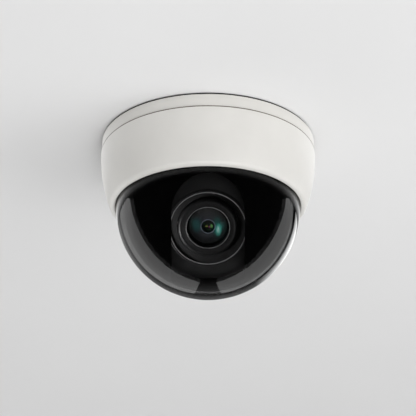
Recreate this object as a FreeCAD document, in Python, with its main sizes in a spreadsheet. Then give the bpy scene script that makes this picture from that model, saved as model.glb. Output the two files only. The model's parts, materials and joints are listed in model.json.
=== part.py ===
import FreeCAD, Part
import math
import os
import re
import Sketcher

# Ceiling dome camera. The ceiling is the plane Z = 0 and the camera hangs below it. The front, where the
# lens looks at rest, is -Y. Lens parts are drawn in the lens frame: its origin is the dome's centre, its Z
# is the optical axis towards the scene, its X is the tilt axis and its Y points up in the picture.

SIZES = {
    # mounting base
    "base_r": 64.5,
    "base_drop": 9.0,
    "edge_break": 0.4,
    "plate_thick": 3.5,
    "gasket_inner": 60.0,
    "gasket_outer": 63.6,
    "gasket_thick": 1.0,
    "rim_inner": 62.0,
    "spigot_r": 60.4,
    "spigot_wall": 2.2,
    "spigot_drop": 16.0,
    "fixing_circle_r": 50.0,
    "fixing_hole_r": 2.25,
    "fixing_count": 3,
    # cable entry
    "entry_r": 8.0,
    "entry_lip_r": 10.0,
    "entry_lip_thick": 1.2,
    "entry_lip_under": 1.5,
    "cable_r": 5.5,
    # pan bearing
    "post_bore": 11.0,
    "post_r": 15.0,
    "post_shoulder_r": 19.0,
    "post_shoulder_drop": 10.0,
    "washer_thick": 0.6,
    "slip": 0.1,
    "fit_gap": 0.05,
    "table_thick": 2.5,
    "table_r": 34.0,
    "pan_ring_thick": 1.2,
    # power board in the base
    "board_thick": 1.6,
    "board_boss_drop": 5.6,
    "board_inner": 20.5,
    "board_outer": 42.0,
    "board_boss_r": 3.0,
    "board_boss_place": 31.0,
    "board_screw_r": 1.5,
    "board_screw_end": 2.2,
    # cover and its dome
    "cover_r": 65.0,
    "seam_gap": 0.6,
    "seal_outer": 63.9,
    "cover_wall": 2.6,
    "cover_straight_drop": 12.0,
    "flank_arc_r": 89.1,
    "flank_end_r": 59.8,
    "flank_end_drop": 42.0,
    "lip_arc_r": 3.7,
    "lip_face": 0.6,
    "lip_r": 55.8,
    "lip_drop": 44.4,
    "ledge_thick": 1.5,
    "ledge_r": 57.9,
    "cover_inner_low_r": 58.24,
    "cover_inner_low_drop": 38.5,
    "bead_r": 61.4,
    "bead_drop": 12.0,
    "bead_height": 1.0,
    "dome_drop": 44.5,
    "dome_r": 55.5,
    "dome_wall": 2.5,
    "flange_r": 57.6,
    "flange_thick": 2.0,
    "dome_seal_thick": 0.8,
    "dome_seal_inner": 56.2,
    "retainer_inner": 52.2,
    "retainer_thick": 2.0,
    "catch_depth": 1.6,
    "catch_width": 7.0,
    "catch_thick": 1.2,
    "catch_count": 6,
    # yoke and liner, which turn with the pan
    "yoke_inner": 28.0,
    "yoke_thick": 3.0,
    "yoke_half": 9.0,
    "foot_inner": 20.0,
    "foot_thick": 2.5,
    "foot_screw_place": 24.0,
    "foot_screw_side": 5.5,
    "small_screw_r": 1.25,
    "lug_end": 41.0,
    "lug_half": 6.0,
    "lug_thick": 2.0,
    "lug_drop": 31.0,
    "lug_screw_place": 38.0,
    "liner_r": 50.5,
    "liner_wall": 1.5,
    "liner_top_drop": 30.0,
    "slot_half": 21.5,
    "slot_arch_drop": 66.5,
    "slot_back": 10.0,
    "ear_inner": 33.0,
    # tilt: cradle, shutter and bezel
    "lens_tilt": 45.0,
    "cradle_half": 25.5,
    "cradle_wall": 2.5,
    "cradle_back": 8.0,
    "cradle_side_half": 8.0,
    "cradle_plate_half": 18.0,
    "pivot_r": 3.0,
    "knob_r": 7.0,
    "knob_thick": 4.0,
    "knob_gap": 0.4,
    "shutter_r": 42.5,
    "shutter_wall": 1.5,
    "shutter_half": 26.0,
    "shutter_up": 52.0,
    "shutter_sweep": 132.0,
    "bezel_r": 24.0,
    "bezel_back": 31.8,
    "bezel_front": 36.1,
    "bezel_lip": 0.8,
    "bezel_mask_thick": 1.2,
    "bezel_bore": 18.3,
    # lens holder, turning about the optical axis
    "hub_r": 15.0,
    "hub_bore": 11.5,
    "hub_back": 9.4,
    "hub_flange_r": 18.0,
    "hub_flange_thick": 2.0,
    "socket_r": 16.0,
    "socket_front": 6.9,
    "mount_r": 12.5,
    "mount_back": 3.0,
    "clip_r": 17.5,
    "clip_thick": 1.1,
    # camera boards
    "card_half": 15.0,
    "card_corner": 3.0,
    "card_pitch": 6.6,
    "card_post_place": 12.2,
    "card_post_r": 1.5,
    "card_screw_r": 0.8,
    "sensor_screw_place": 9.3,
    "sensor_screw_r": 0.9,
    # infrared filter
    "filter_plate_front": -3.1,
    "filter_plate_thick": 1.5,
    "filter_window_r": 2.6,
    "filter_plate_bore": 4.5,
    "filter_thick": 1.0,
    "filter_half": 4.0,
    "filter_pitch": 6.0,
    # lens
    "barrel_r": 14.6,
    "barrel_bore": 13.4,
    "barrel_flange_r": 16.0,
    "barrel_flange_front": 9.0,
    "barrel_front": 29.0,
    "zoom_r": 17.2,
    "zoom_back": 10.0,
    "zoom_front": 17.0,
    "index_r": 16.6,
    "index_back": 17.2,
    "index_front": 20.4,
    "focus_r": 17.8,
    "focus_back": 20.6,
    "focus_front": 34.6,
    "focus_rim": 0.8,
    "funnel_floor": 31.8,
    "funnel_floor_r": 15.6,
    "nose_r": 13.4,
    "nose_bore": 12.7,
    "nose_front": 34.2,
    "front_ring_thick": 0.7,
    "front_glass_back": 29.6,
    "front_glass_edge": 31.6,
    "front_glass_front": 34.9,
    "baffle_front": 28.8,
    "baffle_back": 22.0,
    "baffle_bore": 4.6,
    "baffle_step": 1.0,
    "inner_glass_r": 6.0,
    "inner_glass_back": 18.0,
    "inner_glass_edge": 20.4,
    "inner_glass_rise": 1.2,
    "iris_bore": 2.2,
    "iris_back": 16.8,
    "iris_thick": 0.8,
    "rear_glass_r": 9.0,
    "rear_glass_back": 9.4,
    "rear_glass_back_rise": 1.4,
    "rear_glass_edge": 12.6,
    "rear_glass_front_rise": 0.8,
    "rear_cell_back": 10.6,
    "rear_cell_front": 12.8,
    "grip_groove_r": 0.55,
    "grip_count": 30,
    "lock_screw_r": 1.6,
    "lock_head_r": 2.4,
    "lock_head_thick": 2.2,
    "lock_end": 21.4,
}

THROUGH = 9  # a drill's length, longer than any wall it passes

V = FreeCAD.Vector
doc = FreeCAD.newDocument("dome_camera")
sheet = doc.addObject("Spreadsheet::Sheet", "Dims")
for row, (size_name, size_value) in enumerate(SIZES.items(), 1):
    sheet.set(f"A{row}", size_name)
    sheet.set(f"B{row}", str(size_value))
    sheet.setAlias(f"B{row}", size_name)
doc.recompute()

nodes = {}


# ---------------------------------------------------------------- sizes
def cell(expression):
    """The expression as the document reads it: each size's name leads to its cell."""

    def lead(word):
        return "Dims." + word[0] if word[0] in SIZES else word[0]

    return re.sub(r"[a-z_]+", lead, str(expression))


def size(expression):
    """What the expression comes to now."""
    return float(sheet.evalExpression(cell(expression)))


def bind(thing, **expressions):
    """Binds properties of thing to expressions of the sheet's sizes."""
    for name, expression in expressions.items():
        thing.setExpression(name, cell(expression))


def bind_place(thing, x=0, y=0, z=0):
    """Binds the place of thing's own origin."""
    for axis, expression in zip("xyz", (x, y, z)):
        thing.setExpression("Placement.Base." + axis, cell(expression))


def keep(thing, label, frame=None):
    """Gives a sub-part its name, and its frame if it isn't the row's."""
    thing.Label = label
    if frame is not None:
        thing.Placement = frame
    nodes[label] = thing
    return thing


# ---------------------------------------------------------------- sketched solids
def sketch_on(body, role, shift=None):
    """A sketch on one of the body's own origin planes, moved along its normal by shift."""
    plane = next(f for f in body.Origin.OriginFeatures if f.Role == role)
    sketch = body.newObject("Sketcher::SketchObject", "sketch")
    sketch.AttachmentSupport = [(plane, "")]
    sketch.MapMode = "FlatFace"
    if shift is not None:
        sketch.setExpression(".AttachmentOffset.Base.z", cell(shift))
    return sketch


def hold(sketch, edge, end, x, y):
    """Holds one end of an edge at an expression of the sheet's sizes."""
    for kind, expression in (("DistanceX", x), ("DistanceY", y)):
        number = sketch.addConstraint(Sketcher.Constraint(kind, edge, end, size(expression)))
        sketch.setExpression(f"Constraints[{number}]", cell(expression))


def arc_between(start, end, radius):
    """The short arc from start to end, and whether the sketcher stores it from start. A positive radius
    turns left."""
    a, b = V(*start, 0), V(*end, 0)
    chord = b - a
    left = V(-chord.y, chord.x, 0).normalize()
    rise = max(radius * radius - chord.Length ** 2 / 4, 0) ** 0.5
    centre = (a + b) * 0.5 + left * (rise if radius > 0 else -rise)
    first, last = (a, b) if radius > 0 else (b, a)
    circle = Part.Circle(centre, V(0, 0, 1), abs(radius))
    arc = Part.ArcOfCircle(circle, circle.parameter(first), circle.parameter(last))
    return arc, radius > 0


def draw(sketch, corners):
    """A closed outline. A corner is (x, y), or (x, y, radius) where an arc leads up to it."""
    spots = [(size(c[0]), size(c[1])) for c in corners]
    first_edge = sketch.GeometryCount
    ends = []
    for i, corner in enumerate(corners):
        start = spots[i - 1]
        if len(corner) == 3:
            arc, forward = arc_between(start, spots[i], size(corner[2]))
            edge = sketch.addGeometry(arc, False)
            number = sketch.addConstraint(Sketcher.Constraint("Radius", edge, abs(size(corner[2]))))
            sketch.setExpression(f"Constraints[{number}]", cell(f"abs({corner[2]})"))
            ends.append((1, 2) if forward else (2, 1))
        else:
            edge = sketch.addGeometry(Part.LineSegment(V(*start, 0), V(*spots[i], 0)), False)
            ends.append((1, 2))
    for i, corner in enumerate(corners):
        following = (i + 1) % len(corners)
        joint = (first_edge + i, ends[i][1], first_edge + following, ends[following][0])
        sketch.addConstraint(Sketcher.Constraint("Coincident", *joint))
        hold(sketch, first_edge + i, ends[i][1], corner[0], corner[1])


def ring_outline(inner, outer, low, high):
    return [(inner, low), (outer, low), (outer, high), (inner, high)]


def rectangle(x_low, x_high, y_low, y_high):
    return [(x_low, y_low), (x_high, y_low), (x_high, y_high), (x_low, y_high)]


def turned(outline, name="turned"):
    """A body turned about Z from its half section in the XZ plane."""
    body = doc.addObject("PartDesign::Body", name)
    sketch = sketch_on(body, "XZ_Plane")
    draw(sketch, outline)
    turn = body.newObject("PartDesign::Revolution", "turn")
    turn.Profile = sketch
    turn.ReferenceAxis = (sketch, ["V_Axis"])
    turn.Angle = 360
    doc.recompute()
    return body


def add_pad(body, outlines, low, high):
    """Raises outlines of the XY plane from height low to high, as part of the body."""
    sketch = sketch_on(body, "XY_Plane", low)
    for outline in outlines:
        draw(sketch, outline)
    pad = body.newObject("PartDesign::Pad", "pad")
    pad.Profile = sketch
    bind(pad, Length=f"({high}) - ({low})")
    doc.recompute()
    return pad


def add_holes(body, centres, radius, top, depth, pad=False):
    """Round holes down from height top, or round bosses up from it."""
    sketch = sketch_on(body, "XY_Plane", top)
    for x, y in centres:
        circle = Part.Circle(V(size(x), size(y), 0), V(0, 0, 1), size(radius))
        edge = sketch.addGeometry(circle, False)
        hold(sketch, edge, 3, x, y)
        number = sketch.addConstraint(Sketcher.Constraint("Radius", edge, size(radius)))
        sketch.setExpression(f"Constraints[{number}]", cell(radius))
    kind = "PartDesign::Pad" if pad else "PartDesign::Pocket"
    feature = body.newObject(kind, "boss" if pad else "hole")
    feature.Profile = sketch
    bind(feature, Length=depth)
    doc.recompute()
    return feature


def repeat_round(body, feature, count):
    """Repeats a feature evenly round the body's Z axis."""
    around = body.newObject("PartDesign::PolarPattern", "around")
    around.Originals = [feature]
    around.Axis = (feature.Profile[0], ["N_Axis"])
    around.Angle = 360
    bind(around, Occurrences=count)
    body.Tip = around
    doc.recompute()
    return around


# ---------------------------------------------------------------- primitives and booleans
ALONG = {
    "z": FreeCAD.Rotation(),
    "-z": FreeCAD.Rotation(V(1, 0, 0), 180),
    "x": FreeCAD.Rotation(V(0, 1, 0), 90),
    "-x": FreeCAD.Rotation(V(0, 1, 0), -90),
    "y": FreeCAD.Rotation(V(1, 0, 0), -90),
}


def rod(radius, length, x=0, y=0, z=0, along="z"):
    """A cylinder that starts at a point and runs along an axis."""
    made = doc.addObject("Part::Cylinder", "rod")
    bind(made, Radius=radius, Height=length)
    made.Placement.Rotation = ALONG[along]
    bind_place(made, x, y, z)
    return made


def block(x_low, x_high, y_low, y_high, z_low, z_high):
    made = doc.addObject("Part::Box", "block")
    bind(
        made,
        Length=f"({x_high}) - ({x_low})",
        Width=f"({y_high}) - ({y_low})",
        Height=f"({z_high}) - ({z_low})",
    )
    bind_place(made, x_low, y_low, z_low)
    return made


def ball(radius):
    made = doc.addObject("Part::Sphere", "ball")
    bind(made, Radius=radius)
    return made


def cut(base, *tools):
    for tool in tools:
        made = doc.addObject("Part::Cut", "cut")
        made.Base, made.Tool = base, tool
        base = made
    return base


def common(base, tool):
    made = doc.addObject("Part::Common", "common")
    made.Base, made.Tool = base, tool
    return made


def fuse(*shapes):
    made = doc.addObject("Part::MultiFuse", "fuse")
    made.Shapes = list(shapes)
    return made


def group(shapes):
    """Separate solids that share one node."""
    made = doc.addObject("Part::Compound", "group")
    made.Links = list(shapes)
    return made


def screw(x, y, z, shank_r, shank_length, head_r, head_thick, along="z"):
    """A socket screw: the shank runs from the point along the axis, and the head lies behind the point."""
    back = {"z": "-z", "-z": "z", "x": "-x", "-x": "x"}[along]
    head = rod(head_r, head_thick, x, y, z, back)
    socket = rod(f"({head_r}) * 0.45", f"({head_thick}) * 0.6", x, y, z, back)
    step = {"z": (0, 0, -1), "-z": (0, 0, 1), "x": (-1, 0, 0), "-x": (1, 0, 0)}[along]
    spot = [f"({p}) + ({k}) * ({head_thick}) * 0.4" for p, k in zip((x, y, z), step)]
    bind_place(socket, *spot)
    return fuse(cut(head, socket), rod(shank_r, shank_length, x, y, z, along))


def tube(inner, outer, low, high):
    """A plain ring about Z."""
    disc = rod(outer, f"({high}) - ({low})", z=low)
    return cut(disc, rod(inner, f"({high}) - ({low}) + 2", z=f"({low}) - 1"))


def sector(half):
    """A strip along +X that keeps one piece of a ring."""
    return block(0, "base_r", -half, half, "-spigot_drop", 0)


def span(side, near, far):
    """The low and high end of a stretch that lies near to far from the middle, on one side."""
    ends = (f"({near})", f"({far})")
    return ends if side > 0 else tuple(f"-{end}" for end in reversed(ends))


def ring_places(radius, count, turn=0.0):
    """Evenly spaced places on a circle, as expressions."""
    spots = []
    for i in range(count):
        angle = turn + 360.0 * i / count
        spots.append((f"({radius}) * cos({angle} deg)", f"({radius}) * sin({angle} deg)"))
    return spots


LENS_FRAME = FreeCAD.Placement(
    V(0, 0, -size("dome_drop")), FreeCAD.Rotation(V(1, 0, 0), 90 + size("lens_tilt"))
)

# Heights that several parts share.
TABLE_TOP = "-(post_shoulder_drop + washer_thick + slip)"
TABLE_LOW = f"{TABLE_TOP} - table_thick"
POST_END = f"{TABLE_LOW} - slip"
BOARD_TOP = "-board_boss_drop"
BOARD_LOW = "-(board_boss_drop + board_thick)"
COVER_TOP = "-(base_drop + seam_gap)"
LEDGE = "-(lip_drop - ledge_thick)"
FLANGE_LOW = f"{LEDGE} + dome_seal_thick"
FLANGE_TOP = f"{FLANGE_LOW} + flange_thick"
RETAINER_TOP = f"{FLANGE_TOP} + retainer_thick"
RING_SCREW_PLACE = "(post_bore + post_r) / 2"
ZOOM_LOCK_AT = "(zoom_back + zoom_front) / 2"
FOCUS_LOCK_AT = "focus_back + 4"


# ---------------------------------------------------------------- base, fixed to the ceiling
def make_base():
    body = turned(
        [
            ("entry_lip_r", 0),
            ("gasket_inner", 0),
            ("gasket_inner", "-gasket_thick"),
            ("base_r - edge_break", "-gasket_thick"),
            ("base_r", "-(gasket_thick + edge_break)"),
            ("base_r", "-base_drop"),
            ("rim_inner", "-base_drop"),
            ("rim_inner", "-plate_thick"),
            ("spigot_r", "-plate_thick"),
            ("spigot_r", "-spigot_drop"),
            ("spigot_r - spigot_wall", "-spigot_drop"),
            ("spigot_r - spigot_wall", "-plate_thick"),
            ("post_shoulder_r", "-plate_thick"),
            ("post_shoulder_r", "-post_shoulder_drop"),
            ("post_r", "-post_shoulder_drop"),
            ("post_r", POST_END),
            ("post_bore", POST_END),
            ("post_bore", "-plate_thick"),
            ("entry_r", "-plate_thick"),
            ("entry_r", "-entry_lip_thick"),
            ("entry_lip_r", "-entry_lip_thick"),
        ]
    )
    boss_depth = "board_boss_drop - plate_thick"
    boss = add_holes(body, [("board_boss_place", 0)], "board_boss_r", BOARD_TOP, boss_depth, pad=True)
    repeat_round(body, boss, "fixing_count")
    fixing = add_holes(body, [(0, "-fixing_circle_r")], "fixing_hole_r", 0, "plate_thick")
    repeat_round(body, fixing, "fixing_count")
    pilots = add_holes(body, [("board_boss_place", 0)], "board_screw_r", "-board_screw_end", "plate_thick")
    repeat_round(body, pilots, "fixing_count")
    ring_pilots = add_holes(body, [(RING_SCREW_PLACE, 0)], "card_screw_r", TABLE_TOP, "2 * table_thick")
    repeat_round(body, ring_pilots, "fixing_count")
    keep(body, "mounting_base")

    keep(turned(ring_outline("gasket_inner", "gasket_outer", "-gasket_thick", 0)), "mounting_gasket")
    keep(
        turned(
            [
                ("cable_r", 0),
                ("entry_lip_r", 0),
                ("entry_lip_r", "-entry_lip_thick"),
                ("entry_r", "-entry_lip_thick"),
                ("entry_r", "-plate_thick"),
                ("entry_lip_r", "-plate_thick"),
                ("entry_lip_r", "-(plate_thick + entry_lip_under)"),
                ("cable_r", "-(plate_thick + entry_lip_under)"),
            ]
        ),
        "cable_grommet",
    )
    seal_low = "-(base_drop + seam_gap - slip)"
    keep(turned(ring_outline("rim_inner", "seal_outer", seal_low, "-base_drop")), "cover_seal")


def make_snap_clips():
    """Spring leaves on the spigot. A bump on each holds the bead inside the cover."""
    leaf_half, bump_half = 4.0, 2.0
    foot_top, leaf_top, leaf_low = "-(base_drop + 1.2)", "-(base_drop + 2.2)", "-(spigot_drop - 1)"
    bump_top, bump_low = "-(bead_drop + bead_height + 0.4)", "-(bead_drop + bead_height + 1.6)"
    leaf_inner, leaf_outer, bump_outer = "spigot_r + 0.5", "spigot_r + 0.9", "bead_r + 0.4"
    clips = []
    for turn in (90, 210, 330):
        foot = common(tube("spigot_r", leaf_outer, leaf_top, foot_top), sector(leaf_half))
        leaf = common(tube(leaf_inner, leaf_outer, leaf_low, leaf_top), sector(leaf_half))
        bump = common(tube(leaf_outer, bump_outer, bump_low, bump_top), sector(bump_half))
        clip = fuse(foot, leaf, bump)
        clip.Placement.Rotation = FreeCAD.Rotation(V(0, 0, 1), turn)
        clips.append(clip)
    keep(group(clips), "snap_clips")


def make_power_board():
    disc = rod("board_outer", "board_thick", z=BOARD_LOW)
    bore = rod("board_inner", "board_thick + 2", z=f"{BOARD_LOW} - 1")
    places = ring_places("board_boss_place", 3)
    holes = [rod("board_screw_r", "board_thick + 2", x, y, f"{BOARD_LOW} - 1") for x, y in places]
    keep(cut(disc, bore, *holes), "power_board")
    shank, head_r, head_thick = f"-board_screw_end - ({BOARD_LOW})", 2.6, 1.5
    screws = [screw(x, y, BOARD_LOW, "board_screw_r", shank, head_r, head_thick) for x, y in places]
    keep(group(screws), "board_screws")


def on_board(x, y, half_x, half_y, tall):
    """A component that hangs from the power board."""
    return block(x - half_x, x + half_x, y - half_y, y + half_y, f"{BOARD_LOW} - {tall}", BOARD_LOW)


def make_board_parts():
    """Chips, coils and sockets: each is a place x, y, two half widths and a height."""
    chips = [(-30, 8, 4.5, 4.5, 1.2), (-29, -8, 3, 4, 1.4), (10, 29, 5, 3.5, 1.2), (14, -29, 3.5, 3.5, 1.6)]
    coils = [(-25, 21, 3, 3, 2.8), (-4, 32, 2.5, 2.5, 2.6), (24, 22, 3, 3, 2.6)]
    keep(group([on_board(*spot) for spot in chips]), "board_chips")
    keep(group([on_board(*spot) for spot in coils]), "board_coils")
    plugs = []
    tall, wall, depth = 3.0, 0.6, 2.2
    for x, y, half_x, half_y in ((-4, -35, 5, 2.6), (25, -24, 2.6, 4)):
        shell = on_board(x, y, half_x, half_y, tall)
        mouth = block(
            x - half_x + wall,
            x + half_x - wall,
            y - half_y + wall,
            y + half_y - wall,
            f"{BOARD_LOW} - {tall} - 1",
            f"{BOARD_LOW} - {tall} + {depth}",
        )
        plugs.append(cut(shell, mouth))
    keep(group(plugs), "board_sockets")


def make_switches():
    """A reset push switch and a slide switch for the video format, both on the power board."""
    x, y = -22, -26
    half, tall, button_r, button_out, button_in = 2.0, 1.4, 0.9, 1.0, 0.4
    case = on_board(x, y, half, half, tall)
    guide = rod(f"{button_r} + fit_gap", 1.0, x, y, f"{BOARD_LOW} - {tall} - 0.1")
    keep(cut(case, guide), "reset_switch")
    button_low = f"{BOARD_LOW} - {tall} - {button_out}"
    keep(rod(button_r, button_out + button_in, x, y, button_low), "reset_button")

    x, y = 36, 6
    half_x, half_y, tall, slit_half, slit_depth = 1.8, 3.6, 1.6, 2.0, 0.8
    knob_half, knob_out, knob_in = 0.8, 0.9, 0.7
    case = on_board(x, y, half_x, half_y, tall)
    slit_x = span(1, f"{x} - {knob_half} - fit_gap", f"{x} + {knob_half} + fit_gap")
    slit_low, slit_high = f"{BOARD_LOW} - {tall} - 0.1", f"{BOARD_LOW} - {tall} + {slit_depth}"
    keep(cut(case, block(*slit_x, y - slit_half, y + slit_half, slit_low, slit_high)), "format_switch")
    knob_back = y - slit_half + 0.1
    knob_low, knob_high = f"{BOARD_LOW} - {tall} - {knob_out}", f"{BOARD_LOW} - {tall} + {knob_in}"
    knob = block(x - knob_half, x + knob_half, knob_back, knob_back + 2 * knob_half, knob_low, knob_high)
    keep(knob, "format_slider")


def make_pan_bearing():
    washer_inner = "post_r + slip"
    washer_low = "-(post_shoulder_drop + washer_thick)"
    washer = ring_outline(washer_inner, "post_shoulder_r", washer_low, "-post_shoulder_drop")
    keep(turned(washer), "pan_friction_washer")
    ring_low = f"{POST_END} - pan_ring_thick"
    disc = tube("post_bore", "post_shoulder_r", ring_low, POST_END)
    places = ring_places(RING_SCREW_PLACE, 3)
    holes = [rod("card_screw_r", THROUGH, x, y, f"{ring_low} - 1") for x, y in places]
    keep(cut(disc, *holes), "pan_retaining_ring")
    reach, head_r, head_thick = "pan_ring_thick + table_thick", 1.6, 1.0
    screws = [screw(x, y, ring_low, "card_screw_r", reach, head_r, head_thick) for x, y in places]
    keep(group(screws), "pan_ring_screws")


# ---------------------------------------------------------------- cover, which pulls off downwards
def make_cover():
    body = turned(
        [
            ("cover_r", COVER_TOP),
            ("cover_r - cover_wall", COVER_TOP),
            ("cover_r - cover_wall", "-bead_drop + bead_height"),
            ("bead_r", "-bead_drop"),
            ("bead_r", "-bead_drop - bead_height"),
            ("cover_r - cover_wall - 0.4", "-bead_drop - 1.2 * bead_height"),
            ("cover_inner_low_r", "-cover_inner_low_drop", "-(flank_arc_r - cover_wall)"),
            ("ledge_r", LEDGE),
            ("lip_r", LEDGE),
            ("lip_r", "-lip_drop + edge_break"),
            ("lip_r + lip_face", "-lip_drop"),
            ("flank_end_r", "-flank_end_drop", "lip_arc_r"),
            ("cover_r", "-cover_straight_drop", "flank_arc_r"),
        ]
    )
    reach = "cover_inner_low_r + 0.8"
    catch = add_pad(
        body,
        [rectangle("flange_r - catch_depth", reach, "-catch_width / 2", "catch_width / 2")],
        f"{RETAINER_TOP} + 0.05",
        f"{RETAINER_TOP} + catch_thick",
    )
    repeat_round(body, catch, "catch_count")
    keep(body, "cover_shell")

    keep(
        turned(
            [
                ("dome_r", "-dome_drop", "dome_r"),
                ("dome_r", FLANGE_LOW),
                ("flange_r", FLANGE_LOW),
                ("flange_r", FLANGE_TOP),
                ("dome_r - dome_wall", FLANGE_TOP),
                ("dome_r - dome_wall", "-dome_drop"),
                (0, "-(dome_drop + dome_r - dome_wall)", "-(dome_r - dome_wall)"),
                (0, "-(dome_drop + dome_r)"),
            ]
        ),
        "dome_bubble",
    )
    keep(turned(ring_outline("dome_seal_inner", "flange_r", LEDGE, FLANGE_LOW)), "dome_seal")
    keep(turned(ring_outline("retainer_inner", "flange_r", FLANGE_TOP, RETAINER_TOP)), "dome_retainer")


# ---------------------------------------------------------------- pan assembly
def make_turntable():
    disc = rod("table_r", "table_thick", z=TABLE_LOW)
    bore = rod("post_r + fit_gap", THROUGH, z=f"{TABLE_LOW} - 1")
    holes = []
    for side in (1, -1):
        for edge in (1, -1):
            x, y = f"{side} * foot_screw_place", f"{edge} * foot_screw_side"
            holes.append(rod("small_screw_r", THROUGH, x, y, f"{TABLE_LOW} - 1"))
    keep(cut(disc, bore, *holes), "pan_turntable")


def make_yoke():
    feet_screws = []
    for side, label in ((1, "yoke_arm_right"), (-1, "yoke_arm_left")):
        outer = "yoke_inner + yoke_thick"
        foot_low = f"{TABLE_LOW} - foot_thick"
        foot = block(*span(side, "foot_inner", outer), "-yoke_half", "yoke_half", foot_low, TABLE_LOW)
        arm = block(*span(side, "yoke_inner", outer), "-yoke_half", "yoke_half", "-dome_drop", TABLE_LOW)
        along = "x" if side > 0 else "-x"
        end = rod("yoke_half", "yoke_thick", f"{side} * yoke_inner", 0, "-dome_drop", along)
        lug_low = "-(lug_drop + lug_thick)"
        lug = block(*span(side, outer, "lug_end"), "-lug_half", "lug_half", lug_low, "-lug_drop")
        pivot_hole = rod("pivot_r + fit_gap", THROUGH, f"{side} * (yoke_inner - 1)", 0, "-dome_drop", along)
        holes = [rod("small_screw_r", THROUGH, f"{side} * lug_screw_place", 0, f"{lug_low} - 1")]
        for edge in (1, -1):
            spot = (f"{side} * foot_screw_place", f"{edge} * foot_screw_side")
            holes.append(rod("small_screw_r", THROUGH, *spot, f"{foot_low} - 1"))
            reach = "foot_thick + table_thick - slip"
            feet_screws.append(screw(*spot, foot_low, "small_screw_r", reach, 2.2, 1.5))
        keep(cut(fuse(foot, arm, end, lug), pivot_hole, *holes), label)
    keep(group(feet_screws), "yoke_screws")


def make_liner():
    """The black inner shroud, a cup with a slot that the lens looks through."""
    inner = "liner_r - liner_wall"
    body = turned(
        [
            ("liner_r", "-liner_top_drop"),
            (inner, "-liner_top_drop"),
            (inner, "-dome_drop"),
            (0, "-(dome_drop + liner_r - liner_wall)", "-(liner_r - liner_wall)"),
            (0, "-(dome_drop + liner_r)"),
            ("liner_r", "-dome_drop", "liner_r"),
        ]
    )
    ear_top = "-(lug_drop + lug_thick)"
    ear_low = f"{ear_top} - lug_thick"
    ears = []
    for side in (1, -1):
        ears.append(rectangle(*span(side, "ear_inner", "liner_r - 0.6"), "-lug_half", "lug_half"))
    add_pad(body, ears, ear_low, ear_top)
    places = [(f"{side} * lug_screw_place", 0) for side in (1, -1)]
    add_holes(body, places, "small_screw_r", f"{ear_top} + 1", "lug_thick + 2")
    whole = body.Shape.Volume
    sketch = sketch_on(body, "XZ_Plane", "-slot_back")
    draw(
        sketch,
        [
            ("slot_half", "-(dome_drop + 2 * liner_r)"),
            ("slot_half", "-slot_arch_drop"),
            (0, "-slot_arch_drop + slot_half", "slot_half"),
            ("-slot_half", "-slot_arch_drop", "slot_half"),
            ("-slot_half", "-(dome_drop + 2 * liner_r)"),
        ],
    )
    slot = body.newObject("PartDesign::Pocket", "slot")
    slot.Profile = sketch
    slot.Reversed = True
    slot.Type = "ThroughAll"
    doc.recompute()
    if body.Shape.Volume > 0.95 * whole:
        raise RuntimeError("the liner's slot cuts nothing")
    keep(body, "inner_liner")
    reach = "2 * lug_thick"
    screws = [screw(x, y, "-lug_drop", "small_screw_r", reach, 2.2, 1.4, "-z") for x, y in places]
    keep(group(screws), "liner_screws")


def make_tilt_washers():
    gap = "yoke_inner - cradle_half - slip"
    washers = []
    for side, along in ((1, "x"), (-1, "-x")):
        start = f"{side} * (cradle_half + slip)"
        washer = rod("2 * pivot_r", gap, start, 0, "-dome_drop", along)
        hole = rod("pivot_r + fit_gap", THROUGH, f"{side} * (cradle_half - 1)", 0, "-dome_drop", along)
        washers.append(cut(washer, hole))
    keep(group(washers), "tilt_washers")


# ---------------------------------------------------------------- tilt assembly, in the lens frame
def make_cradle():
    back = "-cradle_back"
    front = "shutter_r - shutter_wall"
    plate_front = f"{back} + cradle_wall"
    high = "cradle_plate_half"
    plate = block("-cradle_half", "cradle_half", f"-{high}", high, back, plate_front)
    sides = []
    for side in (1, -1):
        x_low, x_high = span(side, "cradle_half - cradle_wall", "cradle_half")
        sides.append(block(x_low, x_high, "-cradle_side_half", "cradle_side_half", back, front))
    frame = common(fuse(plate, *sides), ball(front))
    hub_hole = rod("hub_r + fit_gap", THROUGH, z=f"{back} - 1")
    pivot_hole = rod("pivot_r", "4 * cradle_half", "-2 * cradle_half", along="x")
    bezel_seat = rod("bezel_r", "shutter_r", z="bezel_back")
    keep(cut(frame, hub_hole, pivot_hole, bezel_seat), "tilt_cradle", LENS_FRAME)


def make_pivots():
    pivots = []
    for side, along in ((1, "x"), (-1, "-x")):
        shank_start = f"{side} * (cradle_half - cradle_wall)"
        shank_length = "yoke_inner + yoke_thick + knob_gap - cradle_half + cradle_wall"
        shank = rod("pivot_r", shank_length, shank_start, along=along)
        knob_start = f"{side} * (yoke_inner + yoke_thick + knob_gap)"
        knob = rod("knob_r", "knob_thick", knob_start, along=along)
        notches = []
        for y, z in ring_places("knob_r + 0.4", 12):
            notch_start = f"{side} * (yoke_inner + yoke_thick)"
            notches.append(rod(1.0, "knob_thick + 2", notch_start, y, z, along))
        pivots.append(fuse(cut(knob, *notches), shank))
    keep(group(pivots), "tilt_pivots", LENS_FRAME)


def make_shutter():
    """A band of a sphere that closes the slot above and below the lens at every tilt."""
    outer = ball("shutter_r")
    bind(outer, Angle3="shutter_sweep")
    up = math.radians(size("shutter_up"))
    start, square = V(0, math.sin(up), math.cos(up)), V(0, -math.cos(up), math.sin(up))
    outer.Placement.Rotation = FreeCAD.Rotation(start, square, V(1, 0, 0), "ZXY")
    shell = cut(outer, ball("shutter_r - shutter_wall"))
    band = common(shell, block("-shutter_half", "shutter_half", -60, 60, -60, 60))
    window = rod("bezel_r", "shutter_r")
    keep(cut(band, window), "slot_shutter", LENS_FRAME)


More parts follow.
